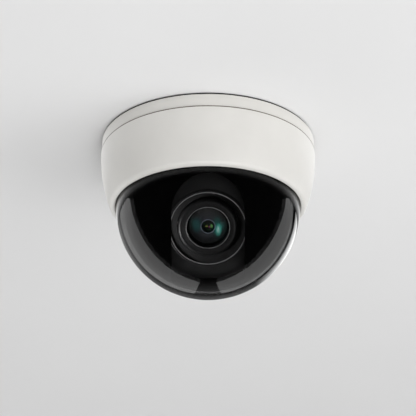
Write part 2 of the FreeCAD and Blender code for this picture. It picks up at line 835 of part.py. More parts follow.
def make_bezel():
    body = turned(
        [
            ("bezel_bore", "bezel_back"),
            ("bezel_r", "bezel_back"),
            ("bezel_r", "bezel_front - edge_break"),
            ("bezel_r - edge_break", "bezel_front"),
            ("bezel_r - bezel_lip", "bezel_front"),
            ("bezel_r - 1.6 * bezel_lip", "bezel_back + 1.4 * bezel_mask_thick"),
            ("bezel_bore", "bezel_back + bezel_mask_thick"),
        ]
    )
    keep(body, "lens_bezel", LENS_FRAME)


# ---------------------------------------------------------------- camera module, which rolls
def make_holder():
    flange_back = "-(cradle_back - cradle_wall - slip)"
    body = turned(
        [
            ("hub_bore", "-hub_back"),
            ("hub_r", "-hub_back"),
            ("hub_r", flange_back),
            ("hub_flange_r", flange_back),
            ("hub_flange_r", f"{flange_back} + hub_flange_thick"),
            ("socket_r", f"{flange_back} + hub_flange_thick"),
            ("socket_r", "socket_front"),
            ("mount_r", "socket_front"),
            ("mount_r", "mount_back - slip"),
            ("hub_bore", "mount_back - slip"),
        ]
    )
    places = [(f"{k} * sensor_screw_place", f"{k} * sensor_screw_place") for k in (1, -1)]
    add_holes(body, places, "sensor_screw_r", "-hub_back + 3.5", 5)
    keep(body, "lens_holder", LENS_FRAME)
    clip_high = "-cradle_back - slip"
    clip = turned(ring_outline("hub_r", "clip_r", f"{clip_high} - clip_thick", clip_high))
    keep(clip, "roll_clip", LENS_FRAME)


def card(front, drill_places, drill_r):
    """A square circuit card with rounded corners and round holes."""
    body = doc.addObject("PartDesign::Body", "card")
    half, flat = "card_half", "card_half - card_corner"
    outline = []
    for x_sign, y_sign, corner_first in ((1, -1, 0), (1, 1, 1), (-1, 1, 0), (-1, -1, 1)):
        along_x = (f"{x_sign} * ({flat})", f"{y_sign} * {half}")
        along_y = (f"{x_sign} * {half}", f"{y_sign} * ({flat})")
        start, end = (along_y, along_x) if corner_first else (along_x, along_y)
        outline += [start, (*end, "card_corner")]
    add_pad(body, [outline], f"({front}) - board_thick", front)
    add_holes(body, drill_places, drill_r, f"({front}) + 1", "board_thick + 2")
    return body


def make_cards():
    sensor_places = [(f"{k} * sensor_screw_place", f"{k} * sensor_screw_place") for k in (1, -1)]
    corner = "card_post_place"
    post_places = [(f"{i} * {corner}", f"{j} * {corner}") for i in (1, -1) for j in (1, -1)]
    keep(card("-hub_back", sensor_places, "sensor_screw_r"), "sensor_board", LENS_FRAME)
    processor_front = "-hub_back - card_pitch"
    keep(card(processor_front, post_places, "card_screw_r"), "processor_board", LENS_FRAME)
    chip = block(-4.5, 4.5, -3.5, 3.5, "-hub_back", "-hub_back + 1.6")
    keep(group([chip]), "image_sensor", LENS_FRAME)
    card_back = "-hub_back - board_thick"
    reach, head_r, head_thick = "board_thick + 3", 1.7, 1.1
    screws = [screw(*spot, card_back, "sensor_screw_r", reach, head_r, head_thick) for spot in sensor_places]
    keep(group(screws), "sensor_screws", LENS_FRAME)
    post_length = "card_pitch - board_thick"
    posts = []
    for x, y in post_places:
        post = rod("card_post_r", post_length, x, y, processor_front)
        posts.append(cut(post, rod("card_screw_r", 3, x, y, processor_front)))
    keep(group(posts), "board_standoffs", LENS_FRAME)
    back = f"{processor_front} - board_thick"
    screws = [screw(*spot, back, "card_screw_r", reach, head_r, head_thick) for spot in post_places]
    keep(group(screws), "processor_screws", LENS_FRAME)
    chips = [(-5.5, 5.5, -5.5, 5.5, 1.1), (7.5, 11.5, -4, 4, 0.9), (-11.5, -7.5, -3, 3, 0.9)]
    made = [block(a, b, c, d, f"{back} - {tall}", back) for a, b, c, d, tall in chips]
    keep(group(made), "processor_chips", LENS_FRAME)
    connector = block(-5, 5, 8.5, 11.5, processor_front, card_back)
    keep(group([connector]), "stacking_connector", LENS_FRAME)


def make_filter():
    """The infrared-cut filter: a frame with two windows that slides across the sensor."""
    front = "filter_plate_front"
    outline = ring_outline("filter_plate_bore", "hub_bore", f"{front} - filter_plate_thick", front)
    keep(turned(outline), "filter_plate", LENS_FRAME)
    low, high = f"{front} + slip", f"{front} + slip + filter_thick"
    frame = block("-filter_half", "filter_half + filter_pitch", "-filter_half", "filter_half", low, high)
    windows = [rod("filter_window_r", THROUGH, place, 0, f"{low} - 1") for place in (0, "filter_pitch")]
    keep(cut(frame, *windows), "filter_frame", LENS_FRAME)
    panes = [rod("filter_window_r", "filter_thick", place, 0, low) for place in (0, "filter_pitch")]
    keep(group(panes), "filter_panes", LENS_FRAME)
    keep(group([block(-4, 4, 5, 8.5, front, f"{front} + 3")]), "filter_coil", LENS_FRAME)


# ---------------------------------------------------------------- lens
def grip(body, radius, back, front):
    """Cuts grip grooves along the outside of a ring."""
    groove = add_holes(body, [(radius, 0)], "grip_groove_r", f"({front}) - 1", f"({front}) - ({back}) - 2")
    repeat_round(body, groove, "grip_count")


def cap_radius(half, rise):
    """The radius of a glass face that rises to its middle from a rim of radius half."""
    return f"(({half})^2 + ({rise})^2) / (2 * ({rise}))"


def make_barrel():
    body = turned(
        [
            ("hub_bore - 1.5", "mount_back"),
            ("mount_r", "mount_back"),
            ("mount_r", "socket_front + slip"),
            ("barrel_flange_r", "socket_front + slip"),
            ("barrel_flange_r", "barrel_flange_front"),
            ("barrel_r", "barrel_flange_front"),
            ("barrel_r", "barrel_front"),
            ("barrel_bore", "barrel_front"),
            ("barrel_bore", "barrel_flange_front"),
            ("hub_bore - 1.5", "barrel_flange_front"),
        ]
    )
    keep(body, "lens_barrel", LENS_FRAME)
    keep(turned(ring_outline("barrel_r", "index_r", "index_back", "index_front")), "index_ring", LENS_FRAME)
    baffle = turned(
        [
            ("baffle_bore", "baffle_back"),
            ("barrel_bore", "baffle_back"),
            ("barrel_bore", "baffle_front"),
            ("barrel_bore - 0.8", "baffle_front"),
            ("baffle_bore", "baffle_back + baffle_step"),
        ]
    )
    keep(baffle, "baffle_cone", LENS_FRAME)
    inner = [
        (0, "inner_glass_back"),
        ("inner_glass_r", "inner_glass_back"),
        ("inner_glass_r", "inner_glass_edge"),
        (0, "inner_glass_edge + inner_glass_rise", cap_radius("inner_glass_r", "inner_glass_rise")),
    ]
    keep(turned(inner), "inner_glass", LENS_FRAME)
    inner_cell = ring_outline("inner_glass_r", "barrel_bore", "inner_glass_back", "baffle_back")
    keep(turned(inner_cell), "glass_cell", LENS_FRAME)
    iris = ring_outline("iris_bore", "barrel_bore", "iris_back", "iris_back + iris_thick")
    keep(turned(iris), "iris_ring", LENS_FRAME)
    back_rim = "rear_glass_back + rear_glass_back_rise"
    rear = [
        (0, "rear_glass_back"),
        ("rear_glass_r", back_rim, cap_radius("rear_glass_r", "rear_glass_back_rise")),
        ("rear_glass_r", "rear_glass_edge"),
        (0, "rear_glass_edge + rear_glass_front_rise", cap_radius("rear_glass_r", "rear_glass_front_rise")),
    ]
    keep(turned(rear), "rear_glass", LENS_FRAME)
    rear_cell = ring_outline("rear_glass_r", "barrel_bore", "rear_cell_back", "rear_cell_front")
    keep(turned(rear_cell), "rear_glass_cell", LENS_FRAME)


def lock_hole(body, along_lens, side):
    """The radial hole that a ring's thumb screw goes through."""
    sketch = sketch_on(body, "YZ_Plane")
    circle = Part.Circle(V(0, size(along_lens), 0), V(0, 0, 1), size("lock_screw_r"))
    edge = sketch.addGeometry(circle, False)
    hold(sketch, edge, 3, 0, along_lens)
    number = sketch.addConstraint(Sketcher.Constraint("Radius", edge, size("lock_screw_r")))
    sketch.setExpression(f"Constraints[{number}]", cell("lock_screw_r"))
    whole = body.Shape.Volume
    hole = body.newObject("PartDesign::Pocket", "lock_hole")
    hole.Profile = sketch
    hole.Reversed = side == "x"
    hole.Type = "ThroughAll"
    body.Tip = hole
    doc.recompute()
    if body.Shape.Volume >= whole:
        raise RuntimeError("the lock screw's hole cuts nothing")


def make_rings():
    zoom = turned(ring_outline("barrel_r + fit_gap", "zoom_r", "zoom_back", "zoom_front"))
    grip(zoom, "zoom_r", "zoom_back", "zoom_front")
    lock_hole(zoom, ZOOM_LOCK_AT, "x")
    keep(zoom, "zoom_ring", LENS_FRAME)
    over_barrel = "barrel_front + 0.3"
    focus = turned(
        [
            ("barrel_r + fit_gap", "focus_back"),
            ("focus_r", "focus_back"),
            ("focus_r", "focus_front - edge_break"),
            ("focus_r - edge_break", "focus_front"),
            ("focus_r - focus_rim", "focus_front"),
            ("funnel_floor_r", "funnel_floor"),
            ("nose_r", "funnel_floor"),
            ("nose_r", "nose_front"),
            ("nose_bore", "nose_front"),
            ("nose_bore", over_barrel),
            ("barrel_r + fit_gap", over_barrel),
        ]
    )
    grip(focus, "focus_r", "focus_back", "bezel_back - 2")
    lock_hole(focus, FOCUS_LOCK_AT, "-x")
    keep(focus, "focus_ring", LENS_FRAME)
    silver = ring_outline("nose_bore", "nose_r", "nose_front", "nose_front + front_ring_thick")
    keep(turned(silver), "front_ring", LENS_FRAME)
    glass = [
        (0, "front_glass_back"),
        ("nose_bore", "front_glass_back"),
        ("nose_bore", "front_glass_edge"),
        (0, "front_glass_front", cap_radius("nose_bore", "front_glass_front - front_glass_edge")),
    ]
    keep(turned(glass), "front_glass", LENS_FRAME)


def make_lock_screw(label, along_lens, along):
    """A thumb screw that clamps a lens ring to the barrel, square to the optical axis."""
    sign = 1 if along == "x" else -1
    tip = "barrel_r + 0.5"
    stem = rod("lock_screw_r", f"lock_end - ({tip})", f"{sign} * ({tip})", 0, along_lens, along)
    head_start = f"{sign} * (lock_end - lock_head_thick)"
    head = rod("lock_head_r", "lock_head_thick", head_start, 0, along_lens, along)
    keep(fuse(stem, head), label, LENS_FRAME)


def build():
    make_base()
    make_snap_clips()
    make_power_board()
    make_board_parts()
    make_switches()
    make_pan_bearing()
    make_cover()
    make_turntable()
    make_yoke()
    make_liner()
    make_tilt_washers()
    make_cradle()
    make_pivots()
    make_shutter()
    make_bezel()
    make_holder()
    make_cards()
    make_filter()
    make_barrel()
    make_rings()
    make_lock_screw("zoom_lock_screw", ZOOM_LOCK_AT, "x")
    make_lock_screw("focus_lock_screw", FOCUS_LOCK_AT, "-x")
    doc.recompute()


def write_parts():
    for thing in doc.Objects:
        if "Invalid" in thing.State or "Error" in thing.State:
            raise RuntimeError(f"{thing.Label} failed: {thing.State}")
    os.makedirs("parts", exist_ok=True)
    for label, thing in nodes.items():
        shape = thing.Shape
        if shape.isNull() or not shape.isValid() or not shape.Solids:
            raise RuntimeError(f"{label} has no valid solid")
        shape.exportStep(f"parts/{label}.step")
        box = shape.BoundBox
        heights = f"z {box.ZMin:7.1f} {box.ZMax:7.1f}"
        print(f"{label:22s} solids {len(shape.Solids):2d}  volume {shape.Volume:9.1f}  {heights}")
    print(len(nodes), "nodes")


build()
write_parts()
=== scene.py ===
import json
import math

import bmesh
import bpy
from mathutils import Matrix, Vector

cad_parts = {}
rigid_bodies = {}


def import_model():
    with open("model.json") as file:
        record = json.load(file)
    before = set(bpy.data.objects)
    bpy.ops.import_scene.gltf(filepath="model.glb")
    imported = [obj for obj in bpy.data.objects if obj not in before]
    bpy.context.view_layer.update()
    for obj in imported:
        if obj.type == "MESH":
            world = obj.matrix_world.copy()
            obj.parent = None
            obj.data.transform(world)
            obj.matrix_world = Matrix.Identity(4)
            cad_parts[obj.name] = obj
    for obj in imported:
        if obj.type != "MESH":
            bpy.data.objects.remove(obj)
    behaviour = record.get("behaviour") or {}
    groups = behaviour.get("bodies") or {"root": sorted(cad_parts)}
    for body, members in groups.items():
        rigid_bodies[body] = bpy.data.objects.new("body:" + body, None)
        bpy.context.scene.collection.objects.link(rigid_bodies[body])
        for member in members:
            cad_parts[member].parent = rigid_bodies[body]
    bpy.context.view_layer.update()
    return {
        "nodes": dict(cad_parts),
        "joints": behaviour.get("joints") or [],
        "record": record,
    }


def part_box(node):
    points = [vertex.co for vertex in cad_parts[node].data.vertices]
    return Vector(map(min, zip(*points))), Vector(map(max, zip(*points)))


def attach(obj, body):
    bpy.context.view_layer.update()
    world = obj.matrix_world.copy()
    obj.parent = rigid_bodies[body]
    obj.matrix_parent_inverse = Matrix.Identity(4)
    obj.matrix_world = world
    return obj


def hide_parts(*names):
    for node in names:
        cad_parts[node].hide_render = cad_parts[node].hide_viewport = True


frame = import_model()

NODES = frame["nodes"]
WHITE = (1.0, 1.0, 1.0)

# ---------------------------------------------------------------- places read from the frame, in metres
JOINTS = {joint["name"]: joint for joint in frame["joints"]}
CENTRE = Vector(JOINTS["tilt"]["pos_m"])  # the dome's centre, where the pan, tilt and roll axes meet
LENS_AXIS = Vector(JOINTS["roll"]["axis"]).normalized()
LENS_FRAME = Matrix.Translation(CENTRE) @ LENS_AXIS.to_track_quat("Z", "Y").to_matrix().to_4x4()
DOME_LOW, DOME_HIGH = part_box("dome_bubble")
DOME_R = CENTRE.z - DOME_LOW.z
DOME_WALL = 0.0025
FLANGE_THICK = 0.002
FLANGE_R = DOME_HIGH.x
FLANGE_LOW, FLANGE_TOP = DOME_HIGH.z - FLANGE_THICK, DOME_HIGH.z
COVER_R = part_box("cover_shell")[1].x
GLASS_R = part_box("front_glass")[1].x
RING_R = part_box("front_ring")[1].x
FOCUS_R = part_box("focus_ring")[1].x
BEZEL_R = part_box("lens_bezel")[1].x


def along_lens(node, front=True):
    """How far the node's front (or back) face lies along the optical axis from the dome's centre.

    At rest the lens points 45 degrees down, so the lowest point of a round front face, and the highest of a
    back face, is its radius times the root of a half past the middle of that face."""
    low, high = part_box(node)
    radius = high.x
    reach = (CENTRE.z - low.z) if front else (CENTRE.z - high.z)
    return (reach - radius * math.sqrt(0.5) * (1 if front else -1)) * math.sqrt(2)


EDGE_BREAK = 0.0004  # the small chamfer on the bezel and the focus ring
BEZEL_FRONT = along_lens("lens_bezel") + EDGE_BREAK
FOCUS_FRONT = along_lens("focus_ring") + EDGE_BREAK
RING_FRONT = along_lens("front_ring")
GLASS_BACK = along_lens("front_glass", False)
GLASS_EDGE = GLASS_BACK + 0.002  # where the front glass's rim ends and its curved face starts
GLASS_RISE = 0.0033  # how far that face stands out past its edge
CELL_R = GLASS_R - 0.0014  # the outer radius of the black cell behind the glass
PUPIL_R = 0.0044

# ---------------------------------------------------------------- names of pieces that the lamps treat apart
LENS_FACES = ("lens_bezel", "focus_ring", "focus_shoulder", "ring_seat")
LENS_GLASS = ("front_element",)
LENS_CELL = ("glass_cell_front", "pupil_rim", "pupil_element")
SHEER = ("dome_bubble", "smoked_dome_skin", "front_element", "front_glass", "ceiling_glow")
CARDS = ("softbox", "gap_card", "rim_card")  # how the names of the light cards start

# ---------------------------------------------------------------- camera
VIEW_ELEVATION = math.radians(-25.5)  # it looks up at the ceiling
VIEW_DISTANCE = 1.417
LENS_MM = 203.4
SENSOR_MM = 36.0
CLIP_START = 0.01
TO_CAMERA = Vector((0, -math.cos(VIEW_ELEVATION), math.sin(VIEW_ELEVATION)))
VIEW_UP = Vector((0, math.sin(VIEW_ELEVATION), math.cos(VIEW_ELEVATION)))


def make_camera():
    data = bpy.data.cameras.new("camera")
    data.lens = LENS_MM
    data.sensor_width = SENSOR_MM
    data.clip_start = CLIP_START
    camera = bpy.data.objects.new("camera", data)
    bpy.context.scene.collection.objects.link(camera)
    camera.location = CENTRE + TO_CAMERA * VIEW_DISTANCE
    camera.rotation_euler = TO_CAMERA.to_track_quat("Z", "Y").to_euler()
    bpy.context.scene.camera = camera


# ---------------------------------------------------------------- node helpers
class Graph:
    """A material's node tree, with short calls for what the materials here share."""

    def __init__(self, name):
        self.material = bpy.data.materials.new(name)
        self.material.use_nodes = True
        self.tree = self.material.node_tree
        self.tree.nodes.clear()
        self.out = self.node("ShaderNodeOutputMaterial")

    def node(self, kind, **settings):
        made = self.tree.nodes.new(kind)
        for key, value in settings.items():
            setattr(made, key, value)
        return made

    def link(self, source, target):
        self.tree.links.new(source, target)

    def fill(self, socket, value):
        """Links another node's output to the socket, or sets a colour or a number on it."""
        if hasattr(value, "is_linked"):
            self.link(value, socket)
        elif isinstance(value, tuple):
            socket.default_value = (*value, 1)
        else:
            socket.default_value = value

    def place(self):
        return self.node("ShaderNodeTexCoord").outputs["Object"]

    def from_centre(self):
        """The way from the dome's centre to the point."""
        shift = self.node("ShaderNodeVectorMath", operation="SUBTRACT")
        self.link(self.place(), shift.inputs[0])
        shift.inputs[1].default_value = CENTRE
        return shift.outputs[0]

    def length(self, vector):
        made = self.node("ShaderNodeVectorMath", operation="LENGTH")
        self.link(vector, made.inputs[0])
        return made.outputs["Value"]

    def dot(self, vector, axis):
        made = self.node("ShaderNodeVectorMath", operation="DOT_PRODUCT")
        self.link(vector, made.inputs[0])
        made.inputs[1].default_value = axis
        return made.outputs["Value"]

    def noise(self, scale, detail=3.0, rough=0.55, vector=None):
        made = self.node("ShaderNodeTexNoise")
        made.inputs["Scale"].default_value = scale
        made.inputs["Detail"].default_value = detail
        made.inputs["Roughness"].default_value = rough
        self.link(vector or self.place(), made.inputs["Vector"])
        return made.outputs["Fac"]

    def ramp(self, source, low, high, from_low=0.3, from_high=0.7):
        """A number that goes from low to high as source goes between the two from values."""
        made = self.node("ShaderNodeMapRange")
        made.inputs["From Min"].default_value = from_low
        made.inputs["From Max"].default_value = from_high
        made.inputs["To Min"].default_value = low
        made.inputs["To Max"].default_value = high
        self.link(source, made.inputs["Value"])
        return made.outputs["Result"]

    def mix(self, factor, first, second):
        """A colour between first and second."""
        made = self.node("ShaderNodeMix", data_type="RGBA")
        self.link(factor, made.inputs["Factor"])
        first_colour, second_colour = made.inputs[6:8]
        self.fill(first_colour, first)
        self.fill(second_colour, second)
        return made.outputs[2]

    def maths(self, kind, a, b=None):
        made = self.node("ShaderNodeMath", operation=kind)
        self.fill(made.inputs[0], a)
        if b is not None:
            self.fill(made.inputs[1], b)
        return made.outputs[0]

    def bump(self, height, strength, distance):
        made = self.node("ShaderNodeBump")
        made.inputs["Strength"].default_value = strength
        made.inputs["Distance"].default_value = distance
        self.link(height, made.inputs["Height"])
        return made.outputs["Normal"]

    def emission(self, strength):
        """A surface that only glows, as bright as another node's output says."""
        light = self.node("ShaderNodeEmission")
        self.link(strength, light.inputs["Strength"])
        self.link(light.outputs[0], self.out.inputs["Surface"])

    def surface(self, **sockets):
        """The principled shader. A value may be a number, a colour or another node's output."""
        shader = self.node("ShaderNodeBsdfPrincipled")
        for name, value in sockets.items():
            self.fill(shader.inputs[name.replace("_", " ")], value)
        self.link(shader.outputs[0], self.out.inputs["Surface"])


# ---------------------------------------------------------------- materials
def scaled(colour, factor):
    return tuple(c * factor for c in colour)


def moulded(name, colour, rough, grain, height, tint, ior=1.5):
    """Moulded plastic: a fine spark-eroded grain, a slight cloudiness in its colour and its gloss."""
    g = Graph(name)
    cloud = g.noise(scale=60.0, detail=2.0)
    grain_noise = g.noise(scale=grain, detail=2.0, rough=0.6)
    g.surface(
        Base_Color=g.mix(g.ramp(cloud, 0, 1), colour, scaled(colour, 1 - tint)),
        Roughness=g.ramp(grain_noise, low=rough - 0.05, high=rough + 0.06),
        IOR=ior,
        Normal=g.bump(grain_noise, strength=0.35, distance=height),
    )
    return g.material


def metal(name, colour, rough):
    """Machined or plated metal with fine tool marks along the object's Z."""
    g = Graph(name)
    stretch = g.node("ShaderNodeMapping")
    stretch.inputs["Scale"].default_value = (1, 1, 0.04)
    g.link(g.place(), stretch.inputs["Vector"])
    marks = g.noise(scale=900.0, rough=0.6, vector=stretch.outputs[0])
    g.surface(
        Base_Color=g.mix(g.ramp(g.noise(scale=220.0), 0, 1), colour, scaled(colour, 0.8)),
        Metallic=1.0,
        Roughness=g.ramp(marks, low=rough - 0.08, high=rough + 0.1),
        Normal=g.bump(marks, strength=0.25, distance=0.00002),
    )
    return g.material


def satin(name, colour):
    """Satin chrome: partly a mirror, partly a pale haze, with a fine grain."""
    g = Graph(name)
    grain = g.noise(scale=2400.0)
    g.surface(
        Base_Color=g.mix(g.ramp(grain, 0, 1), colour, scaled(colour, 0.85)),
        Metallic=0.45,
        Roughness=g.ramp(grain, low=0.26, high=0.42),
    )
    return g.material


def lens_coordinates(g):
    """Distance from the optical axis and height along it, in metres, on a piece that rides on the lens."""
    shift = g.from_centre()
    along = g.dot(shift, LENS_AXIS)
    square = g.maths("POWER", g.length(shift), 2.0)
    radius = g.maths("SQRT", g.maths("SUBTRACT", square, g.maths("POWER", along, 2.0)))
    return radius, along


def anodised(name, colour, rough):
    """Anodised aluminium with the faint rings that a lathe leaves."""
    rings_per_metre = 2600.0
    g = Graph(name)
    radius, along = lens_coordinates(g)
    turns = g.maths("MULTIPLY", g.maths("ADD", radius, along), rings_per_metre * 2 * math.pi)
    rings = g.maths("SINE", turns)
    dust = g.noise(scale=900.0, detail=4.0)
    paler = tuple(min(1.0, c * 1.35 + 0.004) for c in colour)
    g.surface(
        Base_Color=g.mix(g.ramp(dust, 0, 1), colour, paler),
        Metallic=0.25,
        Roughness=g.ramp(dust, low=rough - 0.06, high=rough + 0.1),
        Normal=g.bump(rings, strength=0.18, distance=0.00003),
    )
    return g.material


def smoked():
    """Smoked polycarbonate, tinted mostly in its outer skin, and darker for a slanting look through it."""
    inner_tint = 0.18  # how much the dome's inner face darkens what is seen through it
    skin_low, skin_high = DOME_R - 0.0018, DOME_R - 0.0008  # between the inner face and the outer one
    g = Graph("smoked_dome")
    haze = g.noise(scale=35.0, detail=2.0)
    slant = g.node("ShaderNodeLayerWeight")
    slant.inputs["Blend"].default_value = 0.5
    outer = g.ramp(slant.outputs["Facing"], low=0.42, high=0.88, from_low=0.45, from_high=0.70)
    skin = g.ramp(g.length(g.from_centre()), 0.0, 1.0, skin_low, skin_high)
    outer_extra = g.maths("MULTIPLY", g.maths("SUBTRACT", outer, inner_tint), skin)
    g.surface(
        Base_Color=g.mix(g.ramp(haze, 0, 1), (0.0006, 0.0006, 0.0007), (0.001, 0.001, 0.001)),
        Roughness=0.015,
        IOR=1.58,
        Alpha=g.maths("ADD", outer_extra, inner_tint),
    )
    return g.material


def rubber(name, colour, rough=0.75):
    """Matt rubber with a fine grain and a paler bloom of dust."""
    g = Graph(name)
    grain = g.noise(scale=2200.0, detail=4.0, rough=0.7)
    dusty = tuple(min(1.0, c * 1.5 + 0.01) for c in colour)
    g.surface(
        Base_Color=g.mix(g.ramp(g.noise(scale=150.0, detail=4.0), 0, 1), colour, dusty),
        Roughness=g.ramp(grain, low=rough - 0.1, high=rough + 0.12),
        Normal=g.bump(grain, strength=0.5, distance=0.00003),
    )
    return g.material


def circuit_board():
    """Green solder mask: the copper tracks show paler through it, and small round pads are tinned."""
    g = Graph("solder_mask")
    dots = g.node("ShaderNodeTexVoronoi")
    dots.inputs["Scale"].default_value = 460.0
    dots.inputs["Randomness"].default_value = 0.3
    cells = g.node("ShaderNodeTexVoronoi", feature="DISTANCE_TO_EDGE")
    cells.inputs["Scale"].default_value = 280.0
    for texture in (dots, cells):
        g.link(g.place(), texture.inputs["Vector"])
    where_pads_are = g.ramp(g.noise(scale=170.0, detail=1.0), 0.0, 1.0, from_low=0.5, from_high=0.51)
    dot = g.ramp(dots.outputs["Distance"], 1.0, 0.0, from_low=0.19, from_high=0.22)
    pad = g.maths("MULTIPLY", where_pads_are, dot)
    track = g.ramp(cells.outputs["Distance"], 1.0, 0.0, from_low=0.05, from_high=0.08)
    mask = g.mix(track, (0.008, 0.062, 0.026), (0.02, 0.135, 0.055))
    g.surface(
        Base_Color=g.mix(pad, mask, (0.6, 0.6, 0.57)),
        Metallic=pad,
        Roughness=g.ramp(pad, low=0.26, high=0.34, from_low=0.0, from_high=1.0),
        Normal=g.bump(track, strength=0.3, distance=0.00003),
    )
    return g.material


def blob(g, right, up, wide, tall):
    """A soft oval spot across the lens: 1 in its middle, 0 past its edge.

    Its place and half sizes are in metres from the optical axis."""
    shift = g.from_centre()
    parts = []
    for axis, middle, half in ((LENS_FRAME.col[0], right, wide), (LENS_FRAME.col[1], up, tall)):
        off = g.maths("DIVIDE", g.maths("SUBTRACT", g.dot(shift, axis.to_3d()), middle), half)
        parts.append(g.maths("MULTIPLY", off, off))
    soft = g.node("ShaderNodeMapRange", interpolation_type="SMOOTHSTEP")
    soft.inputs["To Min"].default_value = 1.0
    soft.inputs["To Max"].default_value = 0.0
    g.link(g.maths("ADD", *parts), soft.inputs["Value"])
    return soft.outputs["Result"]


def spotted(g, colour, spots):
    """The colour with soft oval spots on it, each (right, up, wide, tall) and its own colour."""
    for place, tint in spots:
        colour = g.mix(blob(g, *place), colour, tint)
    return colour


def lens_cell():
    """The blackened cell, with a painted glow that makes it lighter and bluer towards its middle, and painted
    blue-green reflections of its coatings, with a painted glint, at either side.
    """
    g = Graph("cell_black")
    radius, _ = lens_coordinates(g)
    # painted glow: the black is lighter and bluer from the cell's edge in towards the pupil
    painted_glow = g.ramp(radius, 1.0, 0.0, from_low=PUPIL_R, from_high=CELL_R * 0.85)
    base = g.mix(painted_glow, (0.012, 0.012, 0.013), (0.04, 0.042, 0.056))
    # painted reflections: blue-green spots at either side, brightest on the right, with a near-white painted
    # glint inside that one
    painted_reflections = (
        ((-0.0064, 0.0008, 0.0034, 0.0060), (0.017, 0.072, 0.08)),
        ((0.0054, -0.0004, 0.0034, 0.0078), (0.012, 0.13, 0.11)),
        ((0.0061, -0.0022, 0.0022, 0.0048), (0.11, 0.58, 0.47)),
        ((0.0060, -0.0020, 0.0010, 0.0026), (0.62, 0.9, 0.85)),
    )
    rough = g.ramp(g.noise(scale=900.0), low=0.45, high=0.6)
    g.surface(Base_Color=spotted(g, base, painted_reflections), Roughness=rough)
    return g.material


def pupil_coating():
    """The small inner element: black glass with a painted glow in its middle and coloured spots painted on as
    the reflections (ghosts) of the elements behind it.
    """
    g = Graph("pupil_coating")
    # painted glow: the black glass is a little lighter in its middle
    painted_glow_radius = 0.0045
    middle = blob(g, 0.0, 0.0, painted_glow_radius, painted_glow_radius)
    base = g.mix(middle, (0.002, 0.002, 0.002), (0.006, 0.006, 0.004))
    # painted reflections: coloured spots for the ghosts of the elements behind it
    painted_ghost_reflections = (
        ((-0.0008, -0.0002, 0.0010, 0.0008), (0.36, 0.42, 0.1)),
        ((0.0008, -0.0006, 0.0008, 0.0010), (0.34, 0.08, 0.2)),
        ((0.0021, -0.0003, 0.0010, 0.0016), (0.26, 0.68, 0.18)),
        ((-0.0022, 0.0013, 0.0009, 0.0009), (0.01, 0.05, 0.015)),
        ((0.0006, -0.0026, 0.0018, 0.0007), (0.02, 0.06, 0.02)),
    )
    rough = g.ramp(g.noise(scale=400.0, detail=2.0), low=0.5, high=0.6)
    g.surface(Base_Color=spotted(g, base, painted_ghost_reflections), Roughness=rough, IOR=1.3)
    return g.material


def front_coating():
    """Coated lens glass: mostly see-through, with a blue-green reflection."""
    colour, rough = (0.002, 0.003, 0.004), 0.22
    g = Graph("front_coating")
    smear = g.noise(scale=420.0)
    g.surface(
        Base_Color=g.mix(g.ramp(smear, 0, 1), colour, scaled(colour, 0.7)),
        Roughness=g.ramp(smear, low=rough, high=rough + 0.03),
        IOR=1.9,
        Specular_Tint=(0.12, 0.9, 0.75),
        Alpha=0.12,
    )
    return g.material


def make_finishes():
    """Every finish by the name that pieces ask for; most are also material slots of the CAD record."""
    return {
        # moulded takes a name, colour, roughness, grain scale, grain height in metres, cloudiness and IOR
        "housing_plastic": moulded("cream_cover", (0.735, 0.722, 0.69), 0.4, 1500.0, 0.000012, 0.03),
        "base_plastic": moulded("cream_base", (0.72, 0.706, 0.672), 0.42, 1500.0, 0.000014, 0.03),
        "seal_rubber": rubber("black_rubber", (0.018, 0.017, 0.016)),
        "seam_rubber": rubber("seam_rubber", (0.085, 0.068, 0.048), rough=0.7),
        "smoked_dome": smoked(),
        "black_plastic": moulded("liner_black", (0.0025, 0.0025, 0.0027), 0.7, 1200.0, 0.00003, 0.2, 1.06),
        "dark_plastic": moulded("dark_grey_plastic", (0.048, 0.048, 0.049), 0.6, 1200.0, 0.00003, 0.1, 1.25),
        "bearing_plastic": moulded("acetal", (0.62, 0.6, 0.55), 0.45, 1000.0, 0.00002, 0.06),
        "spring_steel": metal("spring_steel", (0.55, 0.55, 0.56), rough=0.3),
        "plated_steel": metal("zinc_plate", (0.62, 0.62, 0.6), rough=0.28),
        "silver_trim": satin("silver_trim", (0.7, 0.7, 0.71)),
        "dull_trim": satin("dull_trim", (0.62, 0.62, 0.625)),
        "board_green": circuit_board(),
        "chip_black": moulded("epoxy", (0.02, 0.02, 0.021), 0.55, 2600.0, 0.00003, 0.2),
        "ferrite": moulded("ferrite", (0.06, 0.06, 0.063), 0.6, 900.0, 0.00004, 0.3),
        "socket_plastic": moulded("nylon", (0.68, 0.65, 0.56), 0.42, 1100.0, 0.00002, 0.06),
        "switch_plastic": moulded("switch_black", (0.03, 0.03, 0.031), 0.35, 1500.0, 0.00002, 0.2),
        "button_plastic": moulded("button_red", (0.32, 0.02, 0.015), 0.3, 1500.0, 0.00002, 0.1),
        "brass_post": metal("brass", (0.72, 0.5, 0.22), rough=0.28),
        "sensor_cover": moulded("sensor_glass", (0.02, 0.03, 0.04), 0.08, 300.0, 0.000002, 0.3),
        "lens_metal": anodised("anodised", (0.014, 0.014, 0.0145), rough=0.45),
        "ring_metal": anodised("ring_metal", (0.012, 0.012, 0.0125), rough=0.42),
        "cell_black": lens_cell(),
        "pupil_metal": anodised("pupil_metal", (0.26, 0.29, 0.37), rough=0.5),
        "pupil_coating": pupil_coating(),
        "coated_glass": moulded("coated_glass", (0.003, 0.012, 0.012), 0.06, 100.0, 0.000001, 0.3),
        "front_coating": front_coating(),
        "filter_glass": moulded("filter_glass", (0.03, 0.09, 0.11), 0.05, 100.0, 0.000001, 0.2),
    }


def dress_nodes():
    slots = {part["node"]: part["material_slot"] for part in frame["record"]["subparts"]}
    for name, thing in NODES.items():
        for slot in thing.material_slots:
            slot.material = FINISHES[slots[name]]


